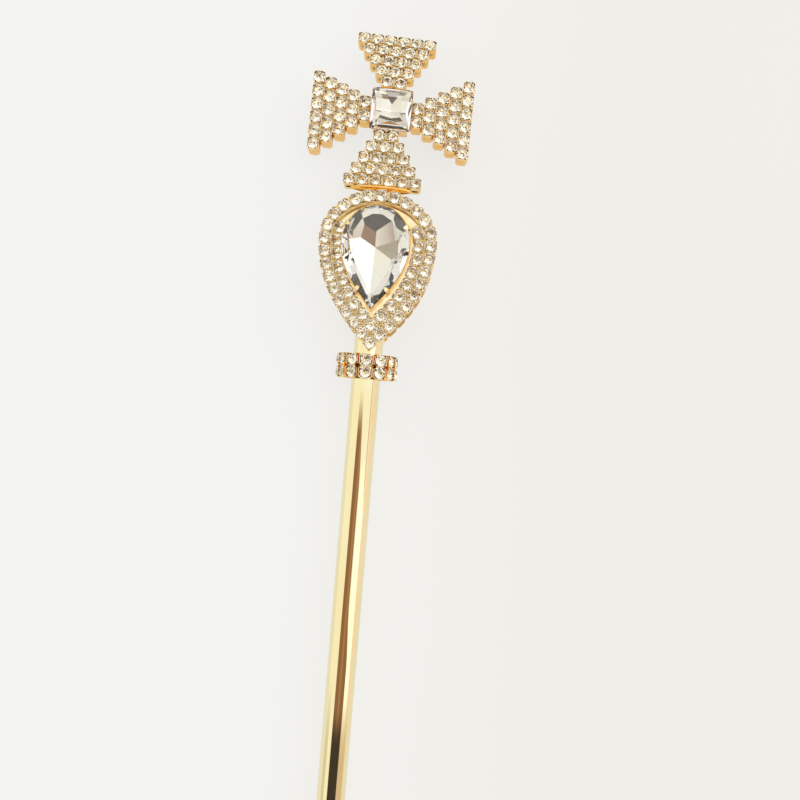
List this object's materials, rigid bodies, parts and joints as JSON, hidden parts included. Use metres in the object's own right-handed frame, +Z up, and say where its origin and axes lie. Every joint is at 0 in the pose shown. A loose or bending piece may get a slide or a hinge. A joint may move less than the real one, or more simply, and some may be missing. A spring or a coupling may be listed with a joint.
{
  "type": "sceptre",
  "caption": "Gold-plated pageant sceptre: a slim tube with a ball end, a stone-set collar, a drop-shaped panel with a pear crystal and a rhinestone cross.",
  "frame": {"origin": "on the surface the sceptre lies on, under the middle of its box", "axes": "+Y along the tube towards the head, +Z up and the side the head faces, +X across"},
  "size_m": [0.0474, 0.3812, 0.0184],
  "materials": {
    "gold_plate": "mirror-polished gold plate over brass tube",
    "gold_setting": "bright gold-plated stamped brass",
    "stone_work": "gold-plated cup chain set with foiled, pale champagne rhinestones",
    "crystal": "clear faceted glass with a silver foil back"
  },
  "bodies": {
    "root": {"shaft_tube": "gold_plate", "end_knob": "gold_plate", "collar": "stone_work", "front_panel": "stone_work", "back_panel": "stone_work", "pear_setting": "gold_setting", "pear_crystal": "crystal", "cross_arm_top": "stone_work", "cross_arm_right": "stone_work", "cross_arm_lower": "stone_work", "cross_arm_left": "stone_work", "square_setting": "gold_setting", "square_crystal": "crystal"}
  },
  "joints": []
}
